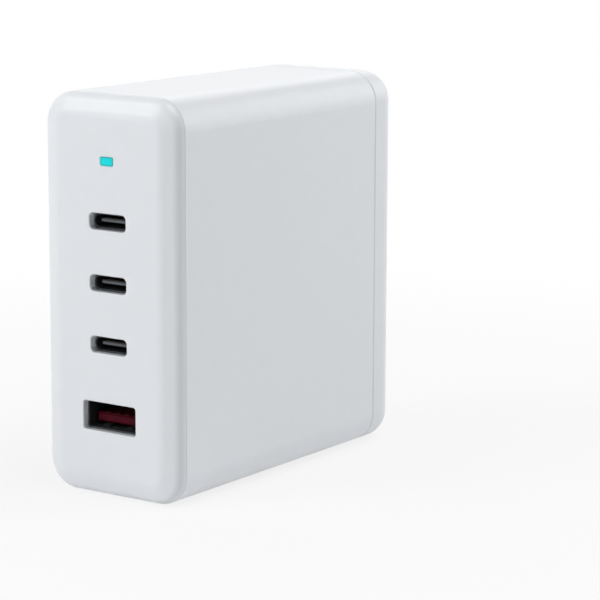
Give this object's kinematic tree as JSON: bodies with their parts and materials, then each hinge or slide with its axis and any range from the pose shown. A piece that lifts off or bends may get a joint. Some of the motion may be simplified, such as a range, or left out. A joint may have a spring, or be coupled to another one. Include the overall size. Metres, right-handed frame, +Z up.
{
  "type": "multi-port usb charger",
  "caption": "Upright white multi-port USB charger: pillow-edged front cover with port slots and a light window, glossy sleeve, rear cover with a mains inlet, boards and power parts inside.",
  "frame": {"origin": "centre of the bounding box's bottom, where it stands on a surface", "axes": "+X across the width, -Y out of the ports, +Y out of the mains inlet, +Z up"},
  "size_m": [0.0342, 0.0788, 0.0817],
  "materials": {
    "white_plastic": "moulded white polycarbonate, gloss",
    "window_cyan": "clear light pipe lit cyan",
    "shell_steel": "drawn stainless steel",
    "tongue_black": "moulded black liquid-crystal polymer",
    "tongue_red": "moulded dark red nylon",
    "contact_gold": "gold-plated copper alloy",
    "board_green": "glass-epoxy board with green solder mask",
    "status_led": "phosphor-capped light chip",
    "inlet_black": "moulded black nylon",
    "pin_nickel": "nickel-plated brass",
    "fuse_case": "moulded brown thermoset",
    "film_yellow": "potted yellow polypropylene box",
    "ferrite_grey": "sintered ferrite",
    "copper_enamel": "enamelled copper wire",
    "winding_tape": "polyester tape over copper",
    "bobbin_black": "moulded phenolic",
    "package_black": "moulded epoxy package",
    "can_sleeve": "dark sleeve on an aluminium can",
    "can_aluminium": "bare drawn aluminium can",
    "inductor_grey": "pressed iron powder",
    "disc_blue": "dipped blue epoxy on a ceramic disc",
    "spreader_aluminium": "rolled aluminium sheet",
    "sheet_film": "polyester film",
    "pad_grey": "filled silicone"
  },
  "bodies": {
    "root": {"front_cover": "white_plastic", "main_shell": "white_plastic", "rear_cover": "white_plastic", "led_window": "window_cyan", "usb_c_shell_1": "shell_steel", "usb_c_shell_2": "shell_steel", "usb_c_shell_3": "shell_steel", "usb_a_shell": "shell_steel", "usb_c_tongue_1": "tongue_black", "usb_c_tongue_2": "tongue_black", "usb_c_tongue_3": "tongue_black", "usb_a_tongue": "tongue_red", "usb_c_contacts_1": "contact_gold", "usb_c_contacts_2": "contact_gold", "usb_c_contacts_3": "contact_gold", "usb_a_contacts": "contact_gold", "port_board": "board_green", "main_board": "board_green", "status_led": "status_led", "inlet_housing": "inlet_black", "inlet_pin_1": "pin_nickel", "inlet_pin_2": "pin_nickel", "fuse": "fuse_case", "x_capacitor": "film_yellow", "choke_core": "ferrite_grey", "transformer_core": "ferrite_grey", "choke_winding": "copper_enamel", "transformer_winding": "winding_tape", "transformer_bobbin": "bobbin_black", "bridge_rectifier": "package_black", "power_switch": "package_black", "control_chip": "package_black", "sync_rectifier": "package_black", "bulk_capacitor_1": "can_sleeve", "bulk_capacitor_2": "can_sleeve", "bulk_capacitor_3": "can_sleeve", "output_capacitor_1": "can_aluminium", "output_capacitor_2": "can_aluminium", "output_capacitor_3": "can_aluminium", "output_inductor_1": "inductor_grey", "output_inductor_2": "inductor_grey", "output_inductor_3": "inductor_grey", "y_capacitor": "disc_blue", "heat_spreader": "spreader_aluminium", "insulation_sheet": "sheet_film", "thermal_pad": "pad_grey"}
  },
  "joints": []
}
